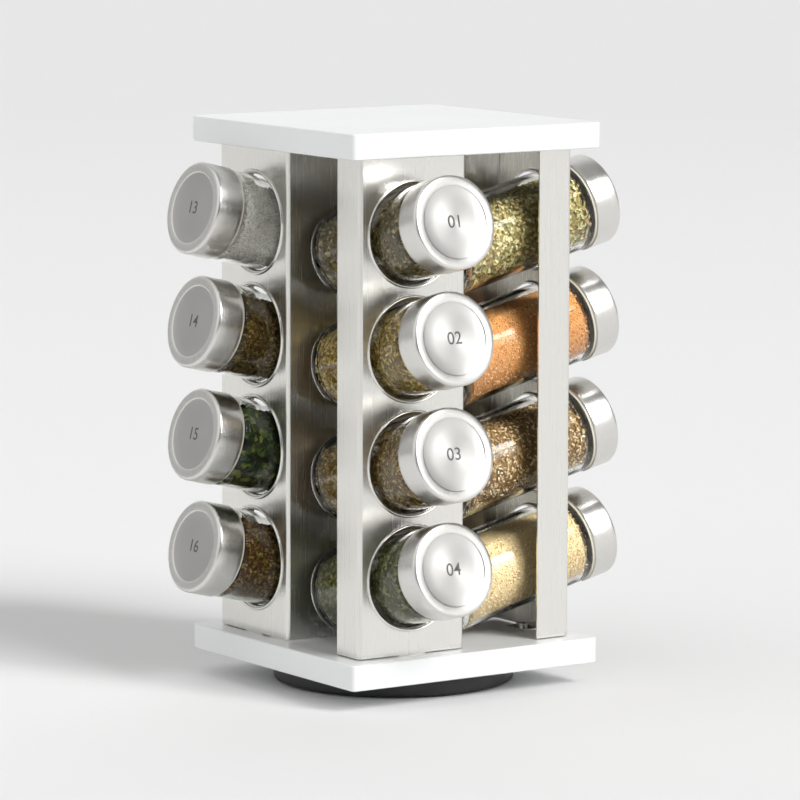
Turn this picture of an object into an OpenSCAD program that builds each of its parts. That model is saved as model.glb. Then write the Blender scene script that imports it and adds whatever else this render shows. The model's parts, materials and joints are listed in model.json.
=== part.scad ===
// Spice carousel: two square plates joined by four folded steel columns in a pinwheel,
// sixteen tilted jars in the columns' round holes, and a ball-bearing turntable underneath.
// Origin: centre of the footprint on the table top. +Z up, the front column's jars point to -Y.

/* [Plates] */
// Side of the square top and bottom plates
plate_w = 152; // [148:1:156]
// Thickness of each plate
plate_t = 13.2; // [12.6:0.2:18]
// Radius of the plates' upright corners
plate_corner_r = 2.6; // [1.5:0.1:6]

/* [Turntable] */
// Diameter of the black base dish
base_d = 125; // [118:1:136]
// Height of the bottom plate's underside above the table
plate_lift = 11.5; // [11.5:0.1:13]
// Number of bearing balls
ball_count = 12; // [8:1:16]

/* [Columns] */
// Height of the columns between the plates
column_h = 253.5; // [250:0.5:270]
// Distance from a plate's edge in to the columns' outer faces
column_inset = 10.8; // [10.4:0.1:11.2]
// Width of the panel that holds the jars
panel_w = 64.4; // [64:0.1:64.8]
// Width of the narrow flange round the corner
flange_w = 20.2; // [14:0.2:24]
// Depth of the return wall behind the panel's other edge
wall_depth = 62; // [56:0.5:63]
// Thickness of the folded sheet
sheet_t = 1; // [0.8:0.1:1.2]
// Outer radius of the sheet's bends
bend_r = 2.2; // [1.6:0.1:3]
// Gap under and over each column, apart from its tabs
column_gap = 0.6; // [0.3:0.1:0.9]

/* [Jar holes] */
// Radius of a jar hole where its lip leaves the panel
hole_r = 26.45; // [26.4:0.05:26.8]
// Radius of the lip's inward roll
lip_r = 1.55; // [1.4:0.05:1.6]
// Distance between the holes' centres, up the column
hole_pitch = 58.2; // [57.6:0.1:58.6]

/* [Jars] */
// Upward tilt of the jars, in degrees
tilt = 14; // [13.6:0.1:14.4]
// Length of a jar with its lid on
jar_len = 100.8; // [98:0.2:101]
// Radius of the jar's body
jar_r = 23.35; // [23:0.05:23.35]
// Distance of the lid's front face from the panel, measured level
lid_out = 37; // [36:0.5:40]
// Radius of the lid
lid_r = 24; // [23.8:0.1:24.4]
// Height of the lid
lid_h = 15; // [14:0.5:16]

/* [Hidden] */
$fn = 96;
// extra length that lets a cut pass right through
over = 1;
rows = 4;
sides = ["front", "right", "back", "left"];
spices = ["basil", "rosemary", "oregano", "parsley",
          "savory", "paprika", "cumin", "ginger",
          "peppercorn", "chilli", "fennel", "turmeric",
          "salt", "marjoram", "chives", "herb_mix"];

function side_of(i) = floor(i / rows);
function row_of(i) = i % rows;

// places worked out from the driving sizes
out = plate_w / 2 - column_inset;
deck_z = plate_lift + plate_t;
roof_z = deck_z + column_h;
hole_x = -out + panel_w / 2;
hole_margin = (column_h - (rows - 1) * hole_pitch) / 2;
function hole_z(row) = roof_z - hole_margin - row * hole_pitch;

// hole lip
lip_depth = 3;
throat_r = hole_r - lip_r;
jar_play = 0.15;
axis_rise = jar_play + jar_r / cos(tilt) - throat_r + lip_depth * tan(tilt);

// glass
heel_r = 4;
base_thick = 5;
punt_r = 17;
punt_deep = 1.2;
body_wall = 2.2;
shoulder_r = 3;
shoulder_thick = 2.4;
neck_r = 19.6;
neck_bore_r = 17.2;
lid_clearance = 0.5;
rim_drop = 2.3;
shoulder_top = jar_len - lid_h - lid_clearance;
rim_z = jar_len - rim_drop;

// lid
lid_wall = 0.8;
lid_round = 2.4;
lid_dish_r = 18.7;
lid_dish_deep = 0.35;

// spice
spice_gap = 0.12;
spice_level = 17.6;

// tabs and screws
tab_w = 16;
tab_deep = 11;
tab_hole_in = 6.5;
tab_heel = 3;
tab_sink = 0.2;
screw_head_r = 3;
screw_head_h = 2;
screw_shank_r = 1.5;
screw_len = 9;
screw_play = 0.1;
screw_bottom_play = 0.5;
slot_len = 3.6;
slot_w = 0.8;
slot_deep = 0.9;
wall_tab_in = 35;
wall_tab_y = -out + wall_tab_in;

// turntable
base_r = base_d / 2;
pad_h = 1.5;
pad_r = 6;
pad_ring_r = 52;
dish_z = 0.8;
dish_floor = 2.5;
dish_wall = 2.5;
dish_gap = 1.9;
dish_top = plate_lift - dish_gap;
dish_round = 1.4;
ball_r = 2.4;
ball_ring_r = 46;
ball_play = 0.03;
guide_w = 1;
guide_h = 1.5;
guide_play = 0.2;
ball_z = dish_z + dish_floor + ball_play + ball_r;
race_z = ball_z + ball_r + ball_play;
disc_t = 1.2;
disc_r = 57;
race_half = 3;
spindle_r = 6;
spindle_play = 0.05;
hub_wall = 2.5;
snap_r = 7.4;
snap_gap = 0.3;
snap_z = plate_lift + snap_gap;
snap_h = 1.2;
recess_r = 10;
recess_deep = 3;
cage_t = 1.1;
cage_z = ball_z - cage_t / 2;
cage_half = 3.8;
pocket_play = 0.15;
disc_screw_r = 53;

// ---------- placing ----------

// turns a front-column part to the column on the given side
module on_side(side) {
    rotate([0, 0, 90 * side])
        children();
}

// jar frame: Z runs along the jar from its tail (0) to the lid's face (jar_len)
module in_hole(i) {
    on_side(side_of(i))
        translate([hole_x, -out, hole_z(row_of(i)) + axis_rise])
            rotate([90 - tilt, 0, 0])
                translate([0, 0, lid_out / cos(tilt) - jar_len])
                    children();
}

// the screws through a column's four tabs, drawn with each head on its tab's inner face
module on_tabs() {
    for (side = [0 : 3]) {
        on_side(side) {
            for (end = [0, 1]) {
                translate([0, 0, end * (deck_z + roof_z)])
                    mirror([0, 0, end]) {
                        translate([hole_x, -out + tab_hole_in, deck_z + sheet_t])
                            children();
                        translate([-out + panel_w - tab_hole_in, wall_tab_y, deck_z + sheet_t])
                            children();
                    }
            }
        }
    }
}

module on_disc_screws() {
    for (turn = [0 : 3]) {
        rotate([0, 0, 45 + 90 * turn])
            translate([disc_screw_r, 0, plate_lift - disc_t])
                mirror([0, 0, 1])
                    children();
    }
}

// ---------- turntable ----------

module ring(r_out, r_in, z, h) {
    translate([0, 0, z])
        difference() {
            cylinder(r = r_out, h = h);
            translate([0, 0, -over])
                cylinder(r = r_in, h = h + 2 * over);
        }
}

module base_dish() {
    color([0.05, 0.05, 0.05]) {
        difference() {
            union() {
                rotate_extrude() {
                    translate([0, dish_z])
                        square([base_r - dish_round, dish_floor]);
                    translate([base_r - dish_round, dish_z + dish_round])
                        intersection() {
                            circle(r = dish_round);
                            translate([0, -dish_round])
                                square(dish_round);
                        }
                    translate([base_r - dish_wall, dish_z + dish_round])
                        square([dish_wall, dish_top - dish_z - dish_round]);
                }
                for (r = [ball_ring_r - ball_r - guide_w, ball_ring_r + ball_r + guide_play]) {
                    ring(r + guide_w - guide_play, r, dish_z + dish_floor - guide_play, guide_h + guide_play);
                }
                translate([0, 0, dish_z])
                    cylinder(r = spindle_r, h = snap_z + snap_h - dish_z);
                translate([0, 0, snap_z])
                    cylinder(r = snap_r, h = snap_h);
            }
            base_pads();
        }
    }
}

module base_pads() {
    color([0.12, 0.12, 0.12])
        for (turn = [0 : 3]) {
            rotate([0, 0, 45 + 90 * turn])
                translate([pad_ring_r, 0, 0])
                    cylinder(r = pad_r, h = pad_h);
        }
}

module at_balls() {
    for (i = [0 : ball_count - 1]) {
        rotate([0, 0, i * 360 / ball_count])
            translate([ball_ring_r, 0, ball_z])
                children();
    }
}

module bearing_balls() {
    color([0.8, 0.8, 0.82])
        at_balls()
            sphere(r = ball_r);
}

module ball_cage() {
    color([0.85, 0.85, 0.8])
        difference() {
            ring(ball_ring_r + cage_half, ball_ring_r - cage_half, cage_z, cage_t);
            at_balls()
                cylinder(r = ball_r + pocket_play, h = cage_t + 2 * over, center = true);
        }
}

// pressed disc: flat plate, a hollow rib that runs on the balls, and a hub collar
module turntable_disc() {
    color([0.7, 0.7, 0.72])
        difference() {
            union() {
                translate([0, 0, plate_lift - disc_t])
                    cylinder(r = disc_r, h = disc_t);
                ring(ball_ring_r + race_half, ball_ring_r - race_half, race_z,
                     plate_lift - race_z);
                translate([0, 0, race_z])
                    cylinder(r = spindle_r + hub_wall, h = plate_lift - race_z);
            }
            ring(ball_ring_r + race_half - disc_t, ball_ring_r - race_half + disc_t,
                 race_z + disc_t, plate_lift);
            translate([0, 0, race_z - over])
                cylinder(r = spindle_r + spindle_play, h = plate_lift);
            on_disc_screws()
                translate([0, 0, -disc_t - over])
                    cylinder(r = screw_shank_r + screw_play, h = disc_t + 2 * over);
        }
}

// ---------- plates ----------

module plate_outline() {
    inner = plate_w - 2 * plate_corner_r;
    square([inner, plate_w], center = true);
    square([plate_w, inner], center = true);
    for (x = [-1, 1]) {
        for (y = [-1, 1]) {
            translate([x * inner / 2, y * inner / 2])
                circle(r = plate_corner_r);
        }
    }
}

module screw_hole() {
    translate([0, 0, -screw_len - screw_bottom_play])
        cylinder(r = screw_shank_r + screw_play, h = screw_len + screw_bottom_play + over);
}

module bottom_plate() {
    color([0.95, 0.95, 0.95])
        difference() {
            translate([0, 0, plate_lift])
                linear_extrude(height = plate_t)
                    plate_outline();
            translate([0, 0, plate_lift - over])
                cylinder(r = recess_r, h = recess_deep + over);
            on_tabs()
                screw_hole();
            on_disc_screws()
                screw_hole();
        }
}

module top_plate() {
    color([0.95, 0.95, 0.95])
        difference() {
            translate([0, 0, roof_z])
                linear_extrude(height = plate_t)
                    plate_outline();
            on_tabs()
                screw_hole();
        }
}

module screw() {
    translate([0, 0, -screw_len])
        cylinder(r = screw_shank_r, h = screw_len);
    difference() {
        cylinder(r = screw_head_r, h = screw_head_h);
        for (turn = [0, 90]) {
            rotate([0, 0, turn])
                translate([-slot_len / 2, -slot_w / 2, screw_head_h - slot_deep])
                    cube([slot_len, slot_w, slot_deep + over]);
        }
    }
}

module assembly_screws() {
    color([0.75, 0.75, 0.77]) {
        on_tabs()
            screw();
        on_disc_screws()
            screw();
    }
}

// ---------- columns ----------

// a quarter bend of the sheet, in the first quadrant
module bend() {
    intersection() {
        difference() {
            circle(r = bend_r);
            circle(r = bend_r - sheet_t);
        }
        square(bend_r);
    }
}

// plan of the folded sheet: flange, panel and return wall
module column_plan() {
    right = -out + panel_w;
    translate([-out, -out + bend_r])
        square([sheet_t, flange_w - bend_r]);
    translate([-out + bend_r, -out + bend_r])
        rotate(180)
            bend();
    translate([-out + bend_r, -out])
        square([panel_w - 2 * bend_r, sheet_t]);
    translate([right - bend_r, -out + bend_r])
        rotate(270)
            bend();
    translate([right - sheet_t, -out + bend_r])
        square([sheet_t, wall_depth - bend_r]);
}

// rolled lip of a jar hole: Z = 0 at the panel's outer face, growing inwards
module hole_lip() {
    rotate_extrude() {
        translate([hole_r, lip_r])
            rotate(180)
                intersection() {
                    difference() {
                        circle(r = lip_r);
                        circle(r = lip_r - sheet_t);
                    }
                    square(lip_r);
                }
        translate([throat_r, lip_r])
            square([sheet_t, lip_depth - lip_r]);
    }
}

module at_holes() {
    for (row = [0 : rows - 1]) {
        translate([hole_x, -out, hole_z(row)])
            rotate([-90, 0, 0])
                children();
    }
}

// foot or head tabs: one behind the panel, one beside the return wall
module tabs() {
    right = -out + panel_w;
    difference() {
        union() {
            translate([hole_x - tab_w / 2, -out + tab_sink, deck_z])
                cube([tab_w, tab_deep, sheet_t]);
            translate([hole_x - tab_w / 2, -out, deck_z])
                cube([tab_w, sheet_t, tab_heel]);
            translate([right - tab_deep - tab_sink, wall_tab_y - tab_w / 2, deck_z])
                cube([tab_deep, tab_w, sheet_t]);
            translate([right - sheet_t, wall_tab_y - tab_w / 2, deck_z])
                cube([sheet_t, tab_w, tab_heel]);
        }
        translate([hole_x, -out + tab_hole_in, deck_z - over])
            cylinder(r = screw_shank_r + screw_play, h = sheet_t + 2 * over);
        translate([right - tab_hole_in, wall_tab_y, deck_z - over])
            cylinder(r = screw_shank_r + screw_play, h = sheet_t + 2 * over);
    }
}

module column(side) {
    color([0.78, 0.78, 0.77])
        on_side(side) {
            difference() {
                translate([0, 0, deck_z + column_gap])
                    linear_extrude(height = column_h - 2 * column_gap)
                        column_plan();
                at_holes()
                    translate([0, 0, -over])
                        cylinder(r = hole_r, h = sheet_t + 2 * over);
            }
            at_holes()
                hole_lip();
            tabs();
            translate([0, 0, deck_z + roof_z])
                mirror([0, 0, 1])
                    tabs();
        }
}

// ---------- jars ----------

// a disc-shaped solid with a rounded edge, Z = 0 at its rounded face
module round_edged(r, h, edge) {
    rotate_extrude() {
        square([r - edge, h]);
        translate([0, edge])
            square([r, h - edge]);
        translate([r - edge, edge])
            circle(r = edge);
    }
}

module jar_cavity(gap) {
    inner = jar_r - body_wall - gap;
    floor_z = base_thick + gap;
    roof = shoulder_top - shoulder_thick - gap;
    rotate_extrude()
        intersection() {
            union() {
                translate([0, floor_z])
                    square([inner - heel_r, heel_r]);
                translate([inner - heel_r, floor_z + heel_r])
                    circle(r = heel_r);
                translate([0, floor_z + heel_r])
                    square([inner, roof - shoulder_r - floor_z - heel_r]);
                translate([inner - shoulder_r, roof - shoulder_r])
                    circle(r = shoulder_r);
                translate([0, floor_z + heel_r])
                    square([inner - shoulder_r, roof - floor_z - heel_r]);
            }
            square([inner, roof]);
        }
}

module jar(i) {
    color([0.8, 0.9, 0.86, 0.4])
        in_hole(i)
            difference() {
                union() {
                    round_edged(jar_r, shoulder_top - shoulder_r, heel_r);
                    translate([0, 0, shoulder_top])
                        mirror([0, 0, 1])
                            round_edged(jar_r, shoulder_top - 2 * heel_r, shoulder_r);
                    cylinder(r = neck_r, h = rim_z);
                }
                jar_cavity(0);
                translate([0, 0, base_thick + heel_r])
                    cylinder(r = neck_bore_r, h = jar_len);
                translate([0, 0, -over])
                    cylinder(r = punt_r, h = punt_deep + over);
            }
}

module lid(i) {
    color([0.82, 0.82, 0.82])
        in_hole(i)
            translate([0, 0, jar_len])
                mirror([0, 0, 1])
                    difference() {
                        round_edged(lid_r, lid_h, lid_round);
                        translate([0, 0, lid_wall + lid_dish_deep])
                            cylinder(r = lid_r - lid_wall, h = lid_h);
                        translate([0, 0, -over])
                            cylinder(r = lid_dish_r, h = over + lid_dish_deep);
                    }
}

// the spice lies in the jar, with a clear space along the jar's upper side
module spice(i) {
    color([0.45, 0.38, 0.18])
        in_hole(i)
            intersection() {
                jar_cavity(spice_gap);
                translate([-jar_r, -jar_r, 0])
                    cube([2 * jar_r, jar_r + spice_level, jar_len]);
            }
}

base_dish();
base_pads();
ball_cage();
bearing_balls();
turntable_disc();
bottom_plate();
top_plate();
assembly_screws();
for (s = [0 : 3]) {
    column(s);
}
for (i = [0 : len(spices) - 1]) {
    jar(i);
    lid(i);
    spice(i);
}
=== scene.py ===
import json
import math

import bmesh
import bpy
import numpy as np
from mathutils import Matrix, Quaternion, Vector


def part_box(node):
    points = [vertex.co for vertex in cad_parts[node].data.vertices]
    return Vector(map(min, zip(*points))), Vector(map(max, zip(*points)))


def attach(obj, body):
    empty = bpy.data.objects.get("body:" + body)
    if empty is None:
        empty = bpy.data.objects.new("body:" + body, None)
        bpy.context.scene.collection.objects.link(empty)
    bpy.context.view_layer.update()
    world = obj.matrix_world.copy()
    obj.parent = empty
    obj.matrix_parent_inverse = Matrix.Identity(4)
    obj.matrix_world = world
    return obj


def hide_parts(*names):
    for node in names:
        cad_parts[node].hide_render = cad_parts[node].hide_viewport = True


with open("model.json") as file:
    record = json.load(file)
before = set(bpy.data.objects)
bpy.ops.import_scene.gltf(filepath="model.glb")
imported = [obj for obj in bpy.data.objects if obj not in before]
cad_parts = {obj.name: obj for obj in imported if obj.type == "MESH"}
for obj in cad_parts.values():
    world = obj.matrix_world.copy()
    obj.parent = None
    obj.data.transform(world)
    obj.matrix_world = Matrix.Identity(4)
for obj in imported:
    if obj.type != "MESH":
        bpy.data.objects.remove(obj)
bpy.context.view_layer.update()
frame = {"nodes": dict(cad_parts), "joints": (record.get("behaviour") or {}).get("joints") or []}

scene = bpy.context.scene
nodes = frame["nodes"]
mm = 0.001
sides = ["front", "right", "back", "left"]
rows = 4
slideEnding = "_jar_slide"
slides = {joint["name"].removesuffix(slideEnding): joint for joint in frame["joints"]
          if joint["name"].endswith(slideEnding)}
spices = list(slides)  # column by column, from the top down


# camera, lights and floor

cameraView = {
    "azimuth": -34.263,
    "elevation": 7.464,
    "roll": 0.156,
    "distance": 2.6335,
    "lens": 228.8,
    "sensor": 36,
    "aside": 0.003,
    "aimHeight": 0.1455,
}


def makeCamera():
    azimuth = math.radians(cameraView["azimuth"])
    elevation = math.radians(cameraView["elevation"])
    level = math.cos(elevation)
    back = Vector((math.sin(azimuth) * level, -math.cos(azimuth) * level, math.sin(elevation)))
    right = Vector((math.cos(azimuth), math.sin(azimuth), 0))
    lens = bpy.data.cameras.new("camera")
    lens.lens = cameraView["lens"]
    lens.sensor_width = cameraView["sensor"]
    lens.clip_start = 0.1
    lens.clip_end = 60
    camera = bpy.data.objects.new("camera", lens)
    aim = Vector((0, 0, cameraView["aimHeight"])) + right * cameraView["aside"]
    camera.location = aim + back * cameraView["distance"]
    roll = Quaternion((0, 0, 1), math.radians(cameraView["roll"]))
    camera.rotation_mode = "QUATERNION"
    camera.rotation_quaternion = back.to_track_quat("Z", "Y") @ roll
    scene.collection.objects.link(camera)
    scene.camera = camera


studio = {
    "keyFrom": (0.24, -0.97, 0.84),
    "keyStrength": 1.7,
    "keyAngle": 28,
    "topFrom": (-0.1, -0.1, 1.0),
    "topStrength": 0.22,
    "topAngle": 60,
    "skyBase": 0.13,
    "glows": [  # where from, how far it fades out and in as cosines, how bright
        ((-0.80, 0.05, 0.60), 0.45, 0.95, 0.75),
        ((0.62, -0.78, -0.12), 0.87, 0.995, 1.0),
        ((-0.56, 0.82, 0.14), 0.80, 0.98, 0.2),
        ((0.56, 0.83, 0.22), 0.4, 0.92, 0.72),
    ],
    "panelTurn": 23.5,  # degrees round from the front
    "panelHalfWide": 0.085,
    "panelLow": 0.2,
    "panelHigh": 0.8,
    "panelSoft": 0.1,
    "panelStrength": 8.8,
    "floorRadius": 14,
    # painted light: the floor's colour is lighter near the middle and darker far out, a pool of light
    # painted into the floor
    "floorColour": (0.83, 0.83, 0.83),
    "floorFarPaintedShade": (0.745, 0.745, 0.745),
    "floorFade": (0.3, 4.0),  # metres from the middle over which the painted pool of light fades out
}


def addSun(name, origin, strength, angle):
    lamp = bpy.data.lights.new(name, "SUN")
    lamp.energy = strength
    lamp.angle = math.radians(angle)
    sun = bpy.data.objects.new(name, lamp)
    sun.rotation_mode = "QUATERNION"
    sun.rotation_quaternion = Vector(origin).to_track_quat("Z", "Y")
    scene.collection.objects.link(sun)


def makeSky():
    # a dim even studio with a few wide soft glows and one tall soft light panel
    world = bpy.data.worlds.new("studioSky")
    world.use_nodes = True
    scene.world = world
    tree = world.node_tree
    direction = tree.nodes.new("ShaderNodeTexCoord").outputs["Generated"]

    def maths(kind, first, second):
        node = tree.nodes.new("ShaderNodeMath")
        node.operation = kind
        for slot, value in enumerate((first, second)):
            if hasattr(value, "is_linked"):
                tree.links.new(value, node.inputs[slot])
            else:
                node.inputs[slot].default_value = value
        return node.outputs[0]

    def facing(towards):
        node = tree.nodes.new("ShaderNodeVectorMath")
        node.operation = "DOT_PRODUCT"
        node.inputs[1].default_value = Vector(towards).normalized()
        tree.links.new(direction, node.inputs[0])
        return node.outputs["Value"]

    def ramp(value, start, end, height=1.0):
        node = tree.nodes.new("ShaderNodeMapRange")
        node.interpolation_type = "SMOOTHSTEP"
        node.inputs["From Min"].default_value = start
        node.inputs["From Max"].default_value = end
        node.inputs["To Max"].default_value = height
        tree.links.new(value, node.inputs["Value"])
        return node.outputs[0]

    total = studio["skyBase"]
    for origin, fadeOut, fadeIn, strength in studio["glows"]:
        total = maths("ADD", ramp(facing(origin), fadeOut, fadeIn, strength), total)
    turn = math.radians(studio["panelTurn"])
    wide = studio["panelHalfWide"]
    across = maths("ABSOLUTE", facing((math.cos(turn), math.sin(turn), 0)), 0)
    inside = maths("SUBTRACT", 1, ramp(across, wide * 0.75, wide * 1.25))
    ahead = ramp(facing((math.sin(turn), -math.cos(turn), 0)), 0.2, 0.35)
    soft = studio["panelSoft"]
    low = ramp(facing((0, 0, 1)), studio["panelLow"] - soft, studio["panelLow"] + soft)
    high = maths("SUBTRACT", 1, ramp(facing((0, 0, 1)), studio["panelHigh"] - soft, studio["panelHigh"]))
    shape = maths("MULTIPLY", maths("MULTIPLY", inside, ahead), maths("MULTIPLY", low, high))
    total = maths("ADD", maths("MULTIPLY", shape, studio["panelStrength"]), total)
    background = tree.nodes["Background"]
    background.inputs["Color"].default_value = (1, 1, 1, 1)
    tree.links.new(total, background.inputs["Strength"])


def makeStudio():
    makeSky()
    addSun("keyLight", studio["keyFrom"], studio["keyStrength"], studio["keyAngle"])
    addSun("topLight", studio["topFrom"], studio["topStrength"], studio["topAngle"])
    bm = bmesh.new()
    bmesh.ops.create_circle(bm, cap_ends=True, segments=96, radius=studio["floorRadius"])
    floor = makeObject("floor", bm)
    paint = Paint("floorPaint", studio["floorColour"], roughness=0.8)
    distance = paint.node("ShaderNodeVectorMath", operation="LENGTH")
    paint.link(paint.coords(), distance.inputs[0])
    near, away = studio["floorFade"]
    # painted pool of light: the floor colour goes from the lighter near colour to the darker far colour
    # with distance from the middle
    far = paint.remap(distance.outputs["Value"], 0, 1, fromLow=near, fromHigh=away)
    paintedLightPool = paint.mix(far, studio["floorColour"], studio["floorFarPaintedShade"])
    paint.link(paintedLightPool, paint.shader.inputs["Base Color"])
    floor.data.materials.append(paint.material)
    scene.view_settings.view_transform = "Standard"


# helpers that make meshes and pieces

def makeObject(name, bm, smooth=None):
    mesh = bpy.data.meshes.new(name)
    bm.to_mesh(mesh)
    bm.free()
    piece = bpy.data.objects.new(name, mesh)
    scene.collection.objects.link(piece)
    if smooth is not None:
        shadeSmooth(mesh, smooth)
    return piece


def makeMesh(name, bm, smooth):
    mesh = bpy.data.meshes.new(name)
    bm.to_mesh(mesh)
    bm.free()
    shadeSmooth(mesh, smooth)
    return mesh


def joinInto(bm, part):
    # adds one bmesh to another, and frees it
    mesh = bpy.data.meshes.new("part")
    part.to_mesh(mesh)
    part.free()
    bm.from_mesh(mesh)
    bpy.data.meshes.remove(mesh)


def shadeSmooth(mesh, sharpAngle):
    mesh.polygons.foreach_set("use_smooth", [True] * len(mesh.polygons))
    mesh.set_sharp_from_angle(angle=math.radians(sharpAngle))
    mesh.update()


def arc(centre, radius, start, end, steps):
    # points (radius, height) along a round stretch of a turned outline, angles in degrees
    turn = [math.radians(start + (end - start) * i / steps) for i in range(steps + 1)]
    return [(centre[0] + radius * math.cos(a), centre[1] + radius * math.sin(a)) for a in turn]


def spinOutline(bm, outline, steps):
    # turns an outline of (radius, height) in millimetres round Z, as a closed skin
    verts = [bm.verts.new((r * mm, 0, z * mm)) for r, z in outline]
    edges = [bm.edges.new(pair) for pair in zip(verts, verts[1:])]
    bmesh.ops.spin(bm, geom=verts + edges, cent=(0, 0, 0), axis=(0, 0, 1),
                   angle=2 * math.pi, steps=steps, use_merge=True)
    bmesh.ops.remove_doubles(bm, verts=bm.verts, dist=1e-6)
    bmesh.ops.recalc_face_normals(bm, faces=bm.faces)


def turnedUv(bm, outline):
    # U runs along the outline and V round the axis, both for brush lines
    uv = bm.loops.layers.uv.new("brush")
    along = {}
    total = 0
    last = outline[0]
    for point in outline:
        total += math.dist(point, last)
        along.setdefault((round(point[0], 2), round(point[1], 2)), total)
        last = point
    for face in bm.faces:
        middle = face.calc_center_median()
        faceAngle = math.atan2(middle.y, middle.x)
        for loop in face.loops:
            co = loop.vert.co
            radius = math.hypot(co.x, co.y)
            angle = math.atan2(co.y, co.x) if radius > 1e-6 else faceAngle
            angle += round((faceAngle - angle) / (2 * math.pi)) * 2 * math.pi
            key = (round(radius / mm, 2), round(co.z / mm, 2))
            loop[uv].uv = (along.get(key, key[0]) / 100, angle / (2 * math.pi))


def cleanCopy(node):
    # a merged copy of a CAD node's mesh
    bm = bmesh.new()
    bm.from_mesh(nodes[node].data)
    bmesh.ops.remove_doubles(bm, verts=bm.verts, dist=2e-6)
    bmesh.ops.dissolve_degenerate(bm, edges=bm.edges, dist=1e-6)
    return bm


def weighNormals(piece):
    weigh = piece.modifiers.new("weighNormals", "WEIGHTED_NORMAL")
    weigh.mode = "FACE_AREA"
    weigh.weight = 100
    weigh.keep_sharp = True


def finishPiece(piece, body, slot, material, *replaced):
    piece.data.materials.append(material)
    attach(piece, body)
    if replaced:
        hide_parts(*replaced)


# materials

def linear(colour):
    # a colour given as 0 to 255 to the linear numbers that shaders take
    return tuple((c / 255 / 12.92) if c <= 10 else ((c / 255 + 0.055) / 1.055) ** 2.4 for c in colour)


class Paint:
    # one Principled material with helpers for grain, mottling and brushing
    def __init__(self, name, colour, roughness=0.5, metallic=0.0, **sockets):
        self.material = bpy.data.materials.new(name)
        self.material.use_nodes = True
        self.tree = self.material.node_tree
        self.shader = self.tree.nodes["Principled BSDF"]
        self.colour = colour
        self.set("Base Color", (*colour, 1))
        self.set("Roughness", roughness)
        self.set("Metallic", metallic)
        for socket, value in sockets.items():
            self.set(socket, value)
        self.height = None

    def set(self, socket, value):
        self.shader.inputs[socket].default_value = value

    def node(self, kind, **values):
        made = self.tree.nodes.new(kind)
        for key, value in values.items():
            if hasattr(made, key):
                setattr(made, key, value)
            else:
                made.inputs[key].default_value = value
        return made

    def link(self, output, target):
        self.tree.links.new(output, target)

    def coords(self, stretch=(1, 1, 1), uvMap=None):
        # where on the piece: its Object coordinates, or its own UV map
        mapping = self.node("ShaderNodeMapping")
        mapping.inputs["Scale"].default_value = stretch
        if uvMap:
            uv = self.node("ShaderNodeUVMap", uv_map=uvMap)
            self.link(uv.outputs[0], mapping.inputs["Vector"])
        else:
            place = self.node("ShaderNodeTexCoord")
            self.link(place.outputs["Object"], mapping.inputs["Vector"])
        return mapping.outputs[0]

    def noise(self, scale, detail=4, stretch=(1, 1, 1), uvMap=None):
        noise = self.node("ShaderNodeTexNoise")
        noise.inputs["Scale"].default_value = scale
        noise.inputs["Detail"].default_value = detail
        noise.inputs["Roughness"].default_value = 0.55
        self.link(self.coords(stretch, uvMap=uvMap), noise.inputs["Vector"])
        return noise.outputs[0]

    def remap(self, value, low, high, fromLow=0.3, fromHigh=0.7):
        remap = self.node("ShaderNodeMapRange")
        remap.inputs["From Min"].default_value = fromLow
        remap.inputs["From Max"].default_value = fromHigh
        remap.inputs["To Min"].default_value = low
        remap.inputs["To Max"].default_value = high
        self.link(value, remap.inputs["Value"])
        return remap.outputs[0]

    def mix(self, factor, first, second):
        mix = self.node("ShaderNodeMix", data_type="RGBA", blend_type="MIX")
        for socket, value in (("Factor_Float", factor), ("A_Color", first), ("B_Color", second)):
            target = next(i for i in mix.inputs if i.identifier == socket)
            if hasattr(value, "is_linked"):
                self.link(value, target)
            else:
                target.default_value = value if socket == "Factor_Float" else (*value, 1)
        return next(o for o in mix.outputs if o.identifier == "Result_Color")

    def mottle(self, scale, amount):
        # lighter and darker patches of the base colour
        dark = tuple(c * (1 - amount) for c in self.colour)
        light = tuple(min(1, c * (1 + amount)) for c in self.colour)
        spread = self.remap(self.noise(scale), 0, 1)
        self.link(self.mix(spread, dark, light), self.shader.inputs["Base Color"])

    def unevenGloss(self, scale, low, high, stretch=(1, 1, 1)):
        noise = self.noise(scale, detail=6, stretch=stretch)
        self.link(self.remap(noise, low, high), self.shader.inputs["Roughness"])

    def bump(self, value, distance, strength=1.0):
        bump = self.node("ShaderNodeBump")
        bump.inputs["Strength"].default_value = strength
        bump.inputs["Distance"].default_value = distance
        self.link(value, bump.inputs["Height"])
        if self.height is not None:
            self.link(self.height, bump.inputs["Normal"])
        self.height = bump.outputs[0]
        self.link(self.height, self.shader.inputs["Normal"])

    def brushTangent(self):
        # the brush lines' direction, which stretches the metal's highlights
        tangent = self.node("ShaderNodeTangent", direction_type="UV_MAP", uv_map="brush")
        self.link(tangent.outputs[0], self.shader.inputs["Tangent"])


def lacquerPaint():
    paint = Paint("whiteLacquer", (0.86, 0.87, 0.872), roughness=0.24, IOR=1.45)
    paint.mottle(scale=14, amount=0.012)
    paint.unevenGloss(scale=8, low=0.22, high=0.26)
    paint.bump(paint.noise(220, detail=1), distance=0.000004, strength=0.2)
    return paint.material


def columnPaint():
    paint = Paint("brushedSheet", (0.82, 0.81, 0.77), roughness=0.27, metallic=1.0, Anisotropic=0.45)
    paint.brushTangent()
    paint.mottle(scale=4, amount=0.015)
    lines = paint.noise(260, detail=3, stretch=(5, 5, 0.06))
    paint.link(paint.remap(lines, 0.264, 0.276), paint.shader.inputs["Roughness"])
    paint.bump(lines, distance=0.000002, strength=0.012)
    return paint.material


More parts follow.
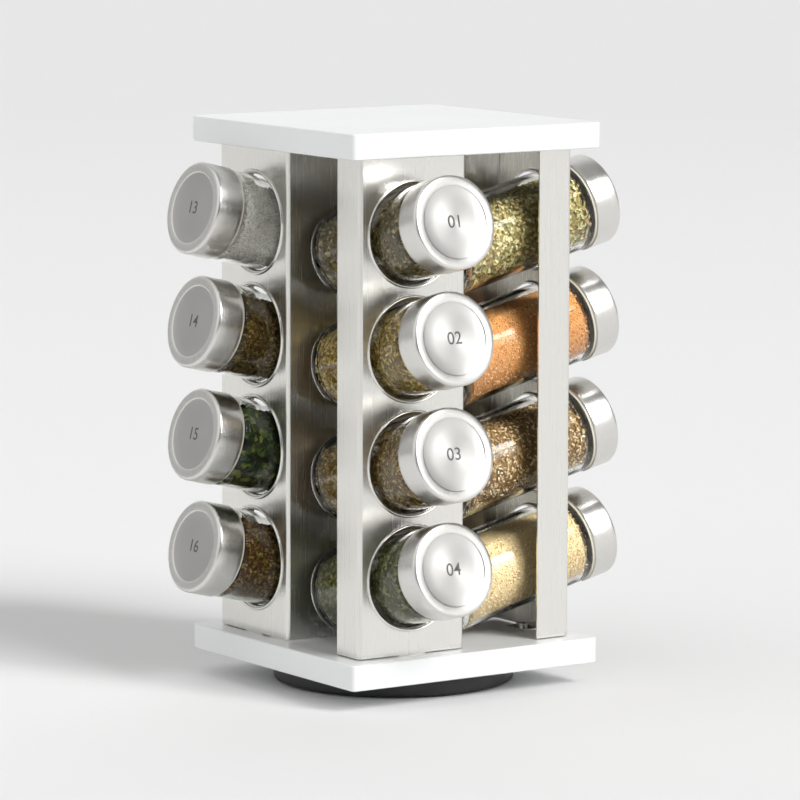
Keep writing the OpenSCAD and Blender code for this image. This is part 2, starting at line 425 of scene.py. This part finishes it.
def turnedPaint(name, colour, gloss, pull):
    # steel turned on a lathe: fine rings across the outline
    paint = Paint(name, colour, roughness=gloss, metallic=1.0, Anisotropic=pull)
    paint.brushTangent()
    paint.mottle(scale=9, amount=0.02)
    lines = paint.noise(60, detail=5, stretch=(60, 0.4, 1), uvMap="brush")
    paint.link(paint.remap(lines, gloss * 0.88, gloss * 1.12), paint.shader.inputs["Roughness"])
    paint.bump(lines, distance=0.00001, strength=0.12)
    return paint.material


def glassPaint():
    paint = Paint("jarGlass", (0.985, 0.985, 0.96), roughness=0.0, IOR=1.5)
    paint.set("Specular Tint", (0.42, 0.42, 0.42, 1))
    paint.set("Transmission Weight", 1.0)
    paint.mottle(scale=25, amount=0.008)
    paint.unevenGloss(scale=80, low=0.0, high=0.03)
    paint.bump(paint.noise(70, detail=1), distance=0.0002, strength=0.22)
    tree = paint.tree
    output = tree.nodes["Material Output"]
    clear = paint.node("ShaderNodeBsdfTransparent")
    clear.inputs["Color"].default_value = (0.95, 0.955, 0.945, 1)
    path = paint.node("ShaderNodeLightPath")
    mix = paint.node("ShaderNodeMixShader")
    paint.link(path.outputs["Is Shadow Ray"], mix.inputs[0])
    paint.link(paint.shader.outputs[0], mix.inputs[1])
    paint.link(clear.outputs[0], mix.inputs[2])
    paint.link(mix.outputs[0], output.inputs["Surface"])
    return paint.material


def plasticPaint(name, colour, roughness, grain=1200, depth=0.00003):
    paint = Paint(name, colour, roughness=roughness)
    paint.mottle(scale=40, amount=0.06)
    paint.unevenGloss(scale=120, low=roughness * 0.85, high=min(1, roughness * 1.2))
    paint.bump(paint.noise(grain, detail=2), distance=depth, strength=0.5)
    return paint.material


def metalPaint(name, colour, roughness, scratch=500):
    paint = Paint(name, colour, roughness=roughness, metallic=1.0)
    paint.mottle(scale=60, amount=0.05)
    paint.unevenGloss(scale=scratch, low=roughness * 0.7, high=roughness * 1.5, stretch=(1, 1, 4))
    paint.bump(paint.noise(scratch * 2, detail=3), distance=0.00001, strength=0.4)
    return paint.material


def inkPaint():
    paint = Paint("printedInk", (0.11, 0.105, 0.1), roughness=0.55)
    paint.mottle(scale=900, amount=0.35)
    return paint.material


def grainPaint(name, colour, fineness, gloss):
    # one spice: each grain's own colour from an attribute, with finer veins and specks over it
    paint = Paint(name, colour, roughness=gloss)
    grain = paint.node("ShaderNodeAttribute", attribute_name="grainColour")
    fine = paint.remap(paint.noise(fineness, detail=5), 0.62, 1.28)
    shade = paint.node("ShaderNodeVectorMath", operation="SCALE")
    paint.link(grain.outputs["Color"], shade.inputs[0])
    paint.link(fine, next(i for i in shade.inputs if i.identifier == "Scale"))
    paint.link(shade.outputs[0], paint.shader.inputs["Base Color"])
    paint.bump(paint.noise(fineness * 1.5, detail=4), distance=0.0002, strength=0.6)
    return paint.material


# turntable, plates and columns

def dressTurntable():
    print("turntable")
    finishes = {
        "base_dish": ("baseBlack", (0.012, 0.012, 0.013), 0.36),
        "base_pads": ("padRubber", (0.03, 0.03, 0.03), 0.8),
        "ball_cage": ("cageNylon", (0.7, 0.69, 0.63), 0.5),
    }
    for node, (name, colour, roughness) in finishes.items():
        nodes[node].data.materials.clear()
        nodes[node].data.materials.append(plasticPaint(name, colour, roughness))
    metals = {
        "bearing_balls": ("ballSteel", (0.75, 0.75, 0.76), 0.12),
        "turntable_disc": ("discZinc", (0.6, 0.61, 0.62), 0.35),
        "assembly_screws": ("screwNickel", (0.68, 0.67, 0.65), 0.25),
    }
    for node, (name, colour, roughness) in metals.items():
        nodes[node].data.materials.clear()
        nodes[node].data.materials.append(metalPaint(name, colour, roughness))


plateLook = {"cornerRadius": 2.6, "edgeRound": 0.9, "recessRadius": 10, "recessDeep": 3}


def roundEdges(bm, edges, radius, steps):
    bmesh.ops.bevel(bm, geom=edges, offset=radius * mm, offset_type="OFFSET", affect="EDGES",
                    segments=steps, profile=0.5, material=-1, clamp_overlap=False)


def makePlate(node):
    # a square board with rounded corners and edges; the bottom one is recessed round the spindle
    print("plate", node)
    low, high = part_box(node)
    bm = bmesh.new()
    bmesh.ops.create_cube(bm, size=1)
    bmesh.ops.scale(bm, verts=bm.verts, vec=high - low)
    bmesh.ops.translate(bm, verts=bm.verts, vec=(high + low) / 2)
    upright = [e for e in bm.edges if abs(e.verts[0].co.z - e.verts[1].co.z) > 1 * mm]
    roundEdges(bm, upright, plateLook["cornerRadius"], 8)
    level = [e for e in bm.edges if abs(e.verts[0].co.z - e.verts[1].co.z) < 0.01 * mm]
    level = [e for e in level if e.calc_face_angle(0) > 1]
    roundEdges(bm, level, plateLook["edgeRound"], 4)
    if node == "bottom_plate":
        under = min(bm.faces, key=lambda f: f.calc_center_median().z - f.calc_area())
        rim = list(under.edges)
        bmesh.ops.delete(bm, geom=[under], context="FACES_ONLY")
        circle = bmesh.ops.create_circle(bm, segments=48, radius=plateLook["recessRadius"] * mm)
        bmesh.ops.translate(bm, verts=circle["verts"], vec=(0, 0, low.z))
        mouth = list({e for v in circle["verts"] for e in v.link_edges})
        bmesh.ops.triangle_fill(bm, edges=rim + mouth, use_beauty=True, use_dissolve=False)
        drawn = bmesh.ops.extrude_edge_only(bm, edges=mouth)["geom"]
        roof = [g for g in drawn if isinstance(g, bmesh.types.BMVert)]
        bmesh.ops.translate(bm, verts=roof, vec=(0, 0, plateLook["recessDeep"] * mm))
        bmesh.ops.contextual_create(bm, geom=[g for g in drawn if isinstance(g, bmesh.types.BMEdge)
                                              and all(v in roof for v in g.verts)])
    bmesh.ops.recalc_face_normals(bm, faces=bm.faces)
    plate = makeObject(node + "_board", bm, smooth=60)
    weighNormals(plate)
    finishPiece(plate, "carousel", "plate_white", paints["lacquer"], node)


def makeColumn(side):
    node = "column_" + side
    print("column", side)
    bm = cleanCopy(node)
    uv = bm.loops.layers.uv.new("brush")
    for face in bm.faces:
        across = 1 if abs(face.normal.x) > abs(face.normal.y) else 0
        for loop in face.loops:
            co = loop.vert.co
            loop[uv].uv = (co[across] * 10, co.z * 10)
    column = makeObject(node + "_sheet", bm, smooth=30)
    weighNormals(column)
    finishPiece(column, "carousel", "column_steel", paints["column"], node)


lipLook = {"radius": 26.7, "bead": 0.8, "beadSteps": 14, "faceOut": 65.2, "steps": 96}


def makeLips(side, atSide):
    # the bright rolled rims of a column's four jar holes
    bm = bmesh.new()
    for spice in atSide:
        outward = jarPlace(spice).col[2].to_3d()
        start = jarPlace(spice).translation
        level = Vector((outward.x, outward.y, 0))
        toFace = lipLook["faceOut"] * mm - start.dot(level.normalized())
        centre = start + outward * (toFace / level.length)
        rim = bmesh.new()
        circle = arc((lipLook["radius"], 0), lipLook["bead"], 0, 360, lipLook["beadSteps"])[:-1]
        verts = [rim.verts.new((r * mm, 0, z * mm)) for r, z in circle]
        edges = [rim.edges.new((v, verts[i - 1])) for i, v in enumerate(verts)]
        bmesh.ops.spin(rim, geom=verts + edges, cent=(0, 0, 0), axis=(0, 0, 1), angle=2 * math.pi,
                       steps=lipLook["steps"], use_merge=True)
        bmesh.ops.recalc_face_normals(rim, faces=rim.faces)
        turn = level.to_track_quat("Z", "Y").to_matrix().to_4x4()
        bmesh.ops.transform(rim, matrix=Matrix.Translation(centre) @ turn, verts=rim.verts)
        joinInto(bm, rim)
    lips = makeObject(f"column_{side}_lips", bm, smooth=80)
    lips.data.materials.append(paints["lip"])
    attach(lips, "carousel")


# jars

jarShape = {
    "radius": 23.35,
    "heel": 4.0,
    "standRadius": 19.35,
    "puntRadius": 17.0,
    "puntDeep": 1.2,
    "wall": 2.2,
    "floor": 5.0,
    "shoulder": 3.0,
    "shoulderTop": 85.3,
    "shoulderThick": 2.4,
    "neckRadius": 19.2,
    "boreRadius": 17.2,
    "rim": 98.5,
    "steps": 144,
    "ribs": 72,
    "ribDeep": 0.35,
    "ribFrom": 1.0,
    "ribTo": 4.6,
    "threadDeep": 0.8,
    "threadPitch": 4.2,
    "threadTurns": 1.6,
}


def jarPlace(spice):
    # the jar's own frame: Z along it from its tail to the lid, Y up, at its tail's centre
    axis = Vector(slides[spice]["axis"]).normalized()
    up = (Vector((0, 0, 1)) - axis * axis.z).normalized()
    aside = up.cross(axis)
    points = [v.co for v in nodes["jar_" + spice].data.vertices]
    place = Vector()
    for direction in (aside, up):
        spread = [p.dot(direction) for p in points]
        place += direction * (min(spread) + max(spread)) / 2
    place += axis * min(p.dot(axis) for p in points)
    turn = Matrix((aside, up, axis)).transposed().to_4x4()
    return Matrix.Translation(place) @ turn


def jarOutline():
    s = jarShape
    inner = s["radius"] - s["wall"]
    roof = s["shoulderTop"] - s["shoulderThick"]
    outline = [(0, s["puntDeep"]), (s["puntRadius"] - 1, s["puntDeep"])]
    outline += arc((s["puntRadius"] - 0.2, 0.8), 0.8, 150, 270, 4)[1:]
    outline += arc((s["standRadius"], s["heel"]), s["heel"], -90, 0, 10)
    outline += [(s["radius"], z) for z in (5, 6, 20, 40, 60, 76)]
    turn = s["radius"] - s["shoulder"]
    outline += arc((turn, s["shoulderTop"] - s["shoulder"]), s["shoulder"], 0, 90, 7)
    outline += arc((s["neckRadius"] + 0.6, s["shoulderTop"] + 0.6), 0.6, 270, 180, 3)
    outline += arc((s["neckRadius"] - 0.8, s["rim"] - 0.8), 0.8, 0, 90, 4)
    outline += arc((s["boreRadius"] + 0.6, s["rim"] - 0.6), 0.6, 90, 180, 3)
    outline += arc((s["boreRadius"] + 0.8, roof + 0.8), 0.8, 180, 240, 3)
    outline += arc((inner - s["shoulder"], roof - s["shoulder"]), s["shoulder"], 70, 0, 6)
    outline += [(inner, z) for z in (60, 40, 20)]
    outline += arc((inner - s["heel"], s["floor"] + s["heel"]), s["heel"], 0, -90, 8)
    outline += [(8, s["floor"]), (0, s["floor"])]
    return outline


def addThread(bm):
    s = jarShape
    start = s["shoulderTop"] + 3
    section = [(s["neckRadius"] - 0.3, -0.9), (s["neckRadius"] + s["threadDeep"], -0.2),
               (s["neckRadius"] + s["threadDeep"], 0.2), (s["neckRadius"] - 0.3, 0.9)]
    verts = [bm.verts.new((r * mm, 0, (start + z) * mm)) for r, z in section]
    face = bm.faces.new(verts)
    steps = int(60 * s["threadTurns"])
    rise = s["threadPitch"] * s["threadTurns"] * mm / steps
    bmesh.ops.spin(bm, geom=[face] + list(face.edges) + verts, cent=(0, 0, 0), axis=(0, 0, 1),
                   dvec=(0, 0, rise), angle=2 * math.pi * s["threadTurns"], steps=steps, use_merge=False)


def makeJar(spice, place, template):
    jar = bpy.data.objects.new("jar_glass_" + spice, template.copy())
    jar.data.name = jar.name
    jar.data.transform(place)
    scene.collection.objects.link(jar)
    finishPiece(jar, spice + "_jar", "jar_glass", paints["glass"], "jar_" + spice)


def jarTemplate():
    print("jar glass")
    s = jarShape
    bm = bmesh.new()
    spinOutline(bm, jarOutline(), s["steps"])
    for vert in bm.verts:
        # fine upright ribs round the heel
        height = vert.co.z / mm
        radius = math.hypot(vert.co.x, vert.co.y) / mm
        if s["ribFrom"] < height < s["ribTo"] and radius > s["standRadius"]:
            angle = math.atan2(vert.co.y, vert.co.x)
            dent = 0.5 - 0.5 * math.cos(angle * s["ribs"])
            shrink = 1 - dent * s["ribDeep"] / radius
            vert.co.x *= shrink
            vert.co.y *= shrink
    thread = bmesh.new()
    addThread(thread)
    bmesh.ops.recalc_face_normals(thread, faces=thread.faces)
    joinInto(bm, thread)
    return makeMesh("jarTemplate", bm, smooth=50)


# lids with their liners and numbers, and the sifters

lidShape = {
    "radius": 24.0,
    "face": 100.8,
    "back": 85.8,
    "edge": 1.7,
    "wall": 0.8,
    "discRadius": 18.7,
    "discDeep": 0.35,
    "steps": 96,
}


def lidOutline():
    s = lidShape
    disc = s["face"] - s["discDeep"]
    outline = [(0, disc), (6, disc), (12, disc), (s["discRadius"] - 0.5, disc)]
    outline += [(s["discRadius"] - 0.3, disc + 0.04), (s["discRadius"], s["face"] - 0.06)]
    outline += [(s["discRadius"] + 0.3, s["face"]), (s["radius"] - s["edge"] - 1, s["face"])]
    outline += arc((s["radius"] - s["edge"], s["face"] - s["edge"]), s["edge"], 90, 0, 6)
    outline += [(s["radius"], 94), (s["radius"], 88), (s["radius"], s["back"] + 0.4)]
    outline += arc((s["radius"] - 0.4, s["back"] + 0.4), 0.4, 0, -180, 5)[1:]
    inner = s["radius"] - s["wall"]
    outline += [(inner, 92)]
    outline += arc((inner - 1.2, disc - s["wall"] - 1.2), 1.2, 0, 90, 4)
    outline += [(12, disc - s["wall"]), (0, disc - s["wall"])]
    return outline


def lidTemplate():
    print("lid")
    bm = bmesh.new()
    outline = lidOutline()
    spinOutline(bm, outline, lidShape["steps"])
    turnedUv(bm, outline)
    discTop = (lidShape["face"] - lidShape["discDeep"]) * mm
    for face in bm.faces:
        middle = face.calc_center_median()
        radius = math.hypot(middle.x, middle.y)
        if radius < (lidShape["discRadius"] - 0.3) * mm and middle.z > discTop - 0.1 * mm:
            face.material_index = 1
    return makeMesh("lidTemplate", bm, smooth=40)


linerShape = {"radius": 23.15, "lip": 84.5, "bore": 20.3, "top": 99.6, "wall": 0.7, "steps": 72}


def linerTemplate():
    s = linerShape
    outline = [(0, s["top"]), (s["radius"] - 1.2, s["top"]), (s["radius"], s["top"] - 1.2)]
    outline += arc((s["radius"] - 0.3, s["lip"] + 0.3), 0.3, 0, -180, 4)
    outline += [(s["radius"] - 0.6, 86.4), (s["bore"], 86.8)]
    outline += [(s["bore"], s["top"] - s["wall"]), (0, s["top"] - s["wall"])]
    bm = bmesh.new()
    spinOutline(bm, outline, s["steps"])
    return makeMesh("linerTemplate", bm, smooth=40)


sifterShape = {
    "radius": 17.1,
    "wall": 0.8,
    "depth": 8,
    "above": 0.35,
    "flange": 1.6,
    "holeRadius": 1.3,
    "rings": [(0, 1), (4.8, 6), (9.6, 12)],  # radius, and how many holes
    "steps": 64,
}


def sifterTemplate():
    # a snap-in plug: a tube with a flange over the glass rim, and a disc with round holes
    s = sifterShape
    top = jarShape["rim"]
    bm = bmesh.new()
    bmesh.ops.create_circle(bm, segments=s["steps"], radius=(s["radius"] - s["wall"]) * mm)
    for ringRadius, count in s["rings"]:
        for i in range(count):
            turn = 2 * math.pi * i / count
            hole = bmesh.ops.create_circle(bm, segments=16, radius=s["holeRadius"] * mm)
            shift = Vector((ringRadius * math.cos(turn), ringRadius * math.sin(turn), 0)) * mm
            bmesh.ops.translate(bm, verts=hole["verts"], vec=shift)
    bmesh.ops.triangle_fill(bm, edges=bm.edges, use_beauty=True, use_dissolve=False)
    extruded = bmesh.ops.extrude_face_region(bm, geom=list(bm.faces))
    lifted = [g for g in extruded["geom"] if isinstance(g, bmesh.types.BMVert)]
    bmesh.ops.translate(bm, verts=lifted, vec=(0, 0, -s["wall"] * mm))
    bmesh.ops.translate(bm, verts=bm.verts, vec=(0, 0, (top + s["above"]) * mm))
    bmesh.ops.recalc_face_normals(bm, faces=bm.faces)
    tube = bmesh.new()
    inner = s["radius"] - s["wall"]
    outer = s["radius"] + s["flange"]
    outline = [(inner, top + s["above"]), (outer, top + s["above"]), (outer, top + 0.02),
               (s["radius"], top + 0.02), (s["radius"], top - s["depth"]), (inner, top - s["depth"]),
               (inner, top + s["above"])]
    spinOutline(tube, outline, s["steps"])
    joinInto(bm, tube)
    return makeMesh("sifterTemplate", bm, smooth=35)


def copyPiece(name, template, place, body, slot, *finish):
    piece = bpy.data.objects.new(name, template.copy())
    piece.data.name = name
    piece.data.transform(place)
    scene.collection.objects.link(piece)
    for material in finish:
        piece.data.materials.append(material)
    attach(piece, body)
    return piece


numberLook = {"size": 9.0, "bolder": 0.05, "lift": 0.03, "thick": 0.02}


def makeNumber(index, spice, place):
    curve = bpy.data.curves.new("number", "FONT")
    curve.body = f"{index + 1:02d}"
    curve.size = numberLook["size"] * mm
    curve.offset = numberLook["bolder"] * mm
    curve.align_x = "CENTER"
    curve.align_y = "CENTER"
    curve.extrude = numberLook["thick"] * mm
    writing = bpy.data.objects.new("writing", curve)
    scene.collection.objects.link(writing)
    bpy.context.view_layer.update()
    shape = writing.evaluated_get(bpy.context.evaluated_depsgraph_get())
    mesh = bpy.data.meshes.new_from_object(shape)
    bpy.data.objects.remove(writing)
    disc = (lidShape["face"] - lidShape["discDeep"] + numberLook["lift"]) * mm
    mesh.transform(place @ Matrix.Translation((0, 0, disc)))
    mesh.materials.clear()
    mesh.materials.append(paints["ink"])
    number = bpy.data.objects.new("number_" + spice, mesh)
    mesh.name = number.name
    scene.collection.objects.link(number)
    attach(number, spice + "_lid")


# spices

fillShape = {
    "radius": 21.03,
    "floor": 5.12,
    "roof": 82.78,
    "heel": 4.0,
    "level": 17.6,  # how far above the jar's axis the fill comes
    "steps": 96,
    "rings": 46,
    "inset": (1.1, 0.45),  # how far the heap stays under its grains: coarse ones, powder
    "dent": (0.5, 0.15),  # how rough the heap is: under coarse grains, under powder
    "overTop": 1.2,  # how far grains may stand above the level
    "firstSeed": 100,
}

# how deep behind the glass each kind of grain lies, in millimetres
grainDepth = {"clod": (0.1, 0.5), "berry": (0.3, 2.1)}
otherDepth = (0.15, 1.3)
veins = {"coarse": 1500, "powder": 2600}

spiceLook = {  # grains are a kind, a length in millimetres and a count
    "basil": {
        "grains": [("leaf", 2.2, 5000)],
        "fill": (112, 96, 54), "gloss": 0.85,
        "colours": [(128, 110, 62), (160, 140, 90), (90, 78, 36), (188, 170, 126), (102, 102, 46)],
    },
    "rosemary": {
        "grains": [("seed", 3.1, 4600)],
        "fill": (150, 120, 52), "gloss": 0.8,
        "colours": [(202, 168, 80), (226, 196, 112), (168, 136, 54), (236, 214, 146), (168, 152, 60)],
    },
    "oregano": {
        "grains": [("leaf", 1.9, 5200)],
        "fill": (130, 100, 44), "gloss": 0.85,
        "colours": [(162, 130, 64), (190, 160, 94), (120, 96, 40), (212, 186, 128), (132, 118, 52)],
    },
    "parsley": {
        "grains": [("leaf", 2.2, 4800)],
        "fill": (84, 90, 34), "gloss": 0.8,
        "colours": [(100, 108, 46), (134, 136, 74), (72, 84, 26), (162, 158, 104), (88, 100, 36)],
    },
    "savory": {
        "grains": [("leaf", 2.2, 5200)],
        "fill": (150, 138, 82), "gloss": 0.75,
        "colours": [(192, 182, 118), (216, 206, 148), (160, 150, 90), (194, 164, 110), (228, 220, 172)],
    },
    "paprika": {
        "grains": [("clod", 0.95, 5400)],
        "fill": (212, 150, 88), "gloss": 0.95,
        "colours": [(234, 182, 122), (214, 152, 88), (244, 206, 156), (198, 132, 70), (230, 174, 110)],
    },
    "cumin": {
        "grains": [("seed", 2.2, 3000), ("leaf", 1.6, 2400)],
        "fill": (140, 110, 66), "gloss": 0.7,
        "colours": [(200, 166, 114), (226, 198, 150), (160, 126, 78), (238, 218, 178), (130, 100, 60)],
    },
    "ginger": {
        "grains": [("clod", 0.95, 5400)],
        "fill": (228, 204, 156), "gloss": 0.95,
        "colours": [(242, 222, 182), (230, 206, 160), (248, 234, 204), (218, 190, 142)],
    },
    "peppercorn": {
        "grains": [("berry", 4.2, 900)],
        "fill": (34, 27, 20), "gloss": 0.6,
        "colours": [(50, 40, 31), (68, 54, 41), (36, 29, 23), (90, 70, 52)],
    },
    "chilli": {
        "grains": [("leaf", 2.6, 3600), ("pip", 2.2, 520)],
        "fill": (104, 28, 14), "gloss": 0.55,
        "colours": [(156, 36, 20), (118, 22, 12), (186, 62, 28), (96, 18, 12)],
        "pips": (222, 192, 118),
    },
    "fennel": {
        "grains": [("seed", 5.4, 2400)],
        "fill": (104, 98, 54), "gloss": 0.7,
        "colours": [(144, 142, 84), (172, 166, 104), (118, 114, 62), (190, 182, 124)],
    },
    "turmeric": {
        "grains": [("clod", 1.0, 5200)],
        "fill": (206, 134, 22), "gloss": 0.95,
        "colours": [(218, 148, 32), (198, 122, 16), (232, 170, 60)],
    },
    "salt": {
        "grains": [("crystal", 0.9, 5600)],
        "fill": (250, 248, 242), "gloss": 0.5,
        "colours": [(250, 249, 244), (254, 253, 250), (240, 238, 232)],
    },
    "marjoram": {
        "grains": [("leaf", 1.9, 5400), ("needle", 3.0, 900)],
        "fill": (84, 62, 14), "gloss": 0.85,
        "colours": [(96, 74, 20), (124, 100, 38), (72, 54, 12), (146, 120, 56)],
    },
    "chives": {
        "grains": [("leaf", 4.6, 2100), ("needle", 6.0, 200)],
        "fill": (12, 20, 1), "gloss": 0.65,
        "colours": [(26, 46, 5), (46, 72, 14), (74, 98, 24), (18, 34, 3), (36, 56, 8), (120, 124, 40)],
    },
    "herb_mix": {
        "grains": [("leaf", 1.8, 5000), ("needle", 3.2, 900)],
        "fill": (82, 54, 14), "gloss": 0.85,
        "colours": [(98, 68, 18), (128, 94, 32), (70, 48, 10), (142, 126, 48), (152, 120, 64)],
    },
}


def grainShape(kind):
    # one grain about 1 mm long, lying in the XY plane along X
    bm = bmesh.new()
    if kind == "leaf":
        bmesh.ops.create_grid(bm, x_segments=3, y_segments=2, size=0.5 * mm)
        for vert in bm.verts:
            x, y = vert.co.x / mm, vert.co.y / mm
            taper = 1 - 1.5 * x * x
            vert.co = Vector((x, y * 0.62 * taper, 0.45 * y * y - 0.3 * x * x)) * mm
    elif kind == "needle":
        bmesh.ops.create_cone(bm, cap_ends=True, segments=5, depth=1 * mm,
                              radius1=0.07 * mm, radius2=0.03 * mm)
        lying = Matrix.Rotation(math.pi / 2, 3, "Y")
        bmesh.ops.rotate(bm, verts=bm.verts, cent=(0, 0, 0), matrix=lying)
    elif kind in ("seed", "pip"):
        bmesh.ops.create_icosphere(bm, subdivisions=1, radius=0.5 * mm)
        width = 0.36 if kind == "seed" else 0.75
        bmesh.ops.scale(bm, verts=bm.verts, vec=(1, width, width if kind == "seed" else 0.3))
    elif kind == "berry":
        bmesh.ops.create_icosphere(bm, subdivisions=2, radius=0.5 * mm)
    elif kind == "crystal":
        bmesh.ops.create_cube(bm, size=0.8 * mm)
    else:
        bmesh.ops.create_icosphere(bm, subdivisions=1, radius=0.5 * mm)
    bmesh.ops.triangulate(bm, faces=bm.faces)
    bmesh.ops.recalc_face_normals(bm, faces=bm.faces)
    points = np.array([v.co for v in bm.verts]) / mm
    bm.verts.index_update()
    faces = np.array([[v.index for v in f.verts] for f in bm.faces])
    bm.free()
    return points, faces


def scatterGrains(kind, size, count, colours, rng):
    # copies of one grain over the fill's skin: against the glass, and along the level top
    s = fillShape
    points, faces = grainShape(kind)
    angle = rng.uniform(0, 2 * math.pi, count)
    along = rng.uniform(s["floor"] + 1, s["roof"] - 1, count)
    near, far = grainDepth.get(kind, otherDepth)
    deep = rng.uniform(near, far, count)
    radius = s["radius"] - deep
    place = np.stack([radius * np.sin(angle), radius * np.cos(angle), along], 1)
    outward = np.stack([np.sin(angle), np.cos(angle), np.zeros(count)], 1)
    onTop = place[:, 1] > s["level"] - 0.5
    place[onTop, 1] = s["level"] - 0.3 - rng.uniform(0, 0.8, onTop.sum())
    outward[onTop] = (0, 1, 0)
    tilt = rng.normal(0, 0.3, (count, 3))
    if kind in ("crystal", "berry", "clod"):
        tilt = rng.normal(0, 1.5, (count, 3))
    normal = outward + tilt
    normal /= np.linalg.norm(normal, axis=1)[:, None]
    heading = rng.normal(0, 1, (count, 3))
    heading -= normal * (heading * normal).sum(1)[:, None]
    heading /= np.linalg.norm(heading, axis=1)[:, None]
    cross = np.cross(normal, heading)
    scale = size * rng.uniform(0.6, 1.25, (count, 1, 1)) * rng.uniform(0.8, 1.2, (count, 1, 3))
    local = points[None] * scale
    world = local[..., :1] * heading[:, None]
    world = world + local[..., 1:2] * cross[:, None]
    world = world + local[..., 2:] * normal[:, None]
    world += place[:, None]
    reach = np.hypot(world[..., 0], world[..., 1])
    limit = np.minimum(1, s["radius"] / np.maximum(reach, 1e-6))
    world[..., 0] *= limit
    world[..., 1] *= limit
    world[..., 1] = np.minimum(world[..., 1], s["level"] + s["overTop"])
    world[..., 2] = np.clip(world[..., 2], s["floor"], s["roof"])
    allFaces = faces[None] + (np.arange(count) * len(points))[:, None, None]
    pick = rng.integers(0, len(colours), count)
    spread = 0.1 if kind == "clod" else 0.22
    tone = np.array([linear(c) for c in colours])[pick] * rng.uniform(1 - spread, 1 + spread, (count, 1))
    return world.reshape(-1, 3), allFaces.reshape(-1, 3), np.repeat(tone, len(points), 0)


def fillSkin(look, rng):
    # the heap under the grains: the jar's hollow with its top side levelled, slightly rough
    s = fillShape
    powder = look["grains"][0][0] == "clod"
    inset = s["inset"][powder]
    r = s["radius"] - inset
    low, high = s["floor"] + inset, s["roof"] - inset
    outline = [(0, low), (6, low), (12, low)]
    outline += arc((r - s["heel"], low + s["heel"]), s["heel"], -90, 0, 5)
    start = low + s["heel"]
    outline += [(r, start + (high - low - 2 * s["heel"]) * i / s["rings"]) for i in range(1, s["rings"])]
    outline += arc((r - 3, high - 3), 3, 0, 90, 4)
    outline += [(12, high), (6, high), (0, high)]
    bm = bmesh.new()
    spinOutline(bm, outline, s["steps"])
    top = s["level"] - inset * 0.6
    for vert in bm.verts:
        vert.co.y = min(vert.co.y, top * mm)
    bmesh.ops.triangulate(bm, faces=bm.faces)
    bm.normal_update()
    roughness = rng.uniform(0, s["dent"][powder], len(bm.verts))
    for vert, dent in zip(bm.verts, roughness):
        vert.co -= vert.normal * dent * mm
    points = np.array([v.co for v in bm.verts]) / mm
    bm.verts.index_update()
    faces = np.array([[v.index for v in f.verts] for f in bm.faces])
    bm.free()
    tone = np.tile(np.array(linear(look["fill"])), (len(points), 1))
    return points, faces, tone


def makeSpice(index, spice, place):
    look = spiceLook[spice]
    rng = np.random.default_rng(fillShape["firstSeed"] + index)
    parts = [fillSkin(look, rng)]
    for kind, size, count in look["grains"]:
        colours = [look["pips"]] if kind == "pip" else look["colours"]
        parts.append(scatterGrains(kind, size, count, colours, rng))
    points, faces, tones = [], [], []
    offset = 0
    for partPoints, partFaces, partTones in parts:
        points.append(partPoints)
        faces.append(partFaces + offset)
        tones.append(partTones)
        offset += len(partPoints)
    mesh = bpy.data.meshes.new("grains_" + spice)
    mesh.from_pydata(np.concatenate(points) * mm, [], np.concatenate(faces))
    paint = mesh.attributes.new("grainColour", "FLOAT_COLOR", "POINT")
    colour = np.ones((offset, 4))
    colour[:, :3] = np.clip(np.concatenate(tones), 0, 1)
    paint.data.foreach_set("color", colour.ravel())
    mesh.transform(place)
    mainKind = look["grains"][0][0]
    shadeSmooth(mesh, 60 if mainKind in ("clod", "berry", "seed") else 25)
    piece = bpy.data.objects.new("grains_" + spice, mesh)
    scene.collection.objects.link(piece)
    fineness = veins["powder" if mainKind == "clod" else "coarse"]
    finish = grainPaint("spice_" + spice, linear(look["colours"][0]), fineness, look["gloss"])
    finishPiece(piece, spice + "_jar", "spice_" + spice, finish, "spice_" + spice)


# the whole carousel

makeCamera()
makeStudio()
paints = {
    "lacquer": lacquerPaint(),
    "column": columnPaint(),
    "lip": metalPaint("rolledLip", (0.8, 0.79, 0.75), 0.2),
    "lid": turnedPaint("turnedCap", (0.74, 0.73, 0.7), 0.28, 0.45),
    "lidDisc": turnedPaint("turnedCapDisc", (0.55, 0.54, 0.522), 0.31, 0.4),
    "glass": glassPaint(),
    "liner": plasticPaint("linerCream", (0.74, 0.71, 0.62), 0.45),
    "sifter": plasticPaint("sifterWhite", (0.8, 0.8, 0.78), 0.4),
    "ink": inkPaint(),
}
dressTurntable()
makePlate("bottom_plate")
makePlate("top_plate")
for index, side in enumerate(sides):
    makeColumn(side)
    makeLips(side, spices[index * rows:(index + 1) * rows])
glassMesh = jarTemplate()
capMesh = lidTemplate()
linerMesh = linerTemplate()
sifterMesh = sifterTemplate()
for index, spice in enumerate(spices):
    print("jar", spice)
    place = jarPlace(spice)
    makeJar(spice, place, glassMesh)
    cap = copyPiece("cap_" + spice, capMesh, place, spice + "_lid", "lid_steel",
                    paints["lid"], paints["lidDisc"])
    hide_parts("lid_" + spice)
    copyPiece("liner_" + spice, linerMesh, place, spice + "_lid", "cage_plastic", paints["liner"])
    copyPiece("sifter_" + spice, sifterMesh, place, spice + "_jar", "cage_plastic", paints["sifter"])
    makeNumber(index, spice, place)
    makeSpice(index, spice, place)
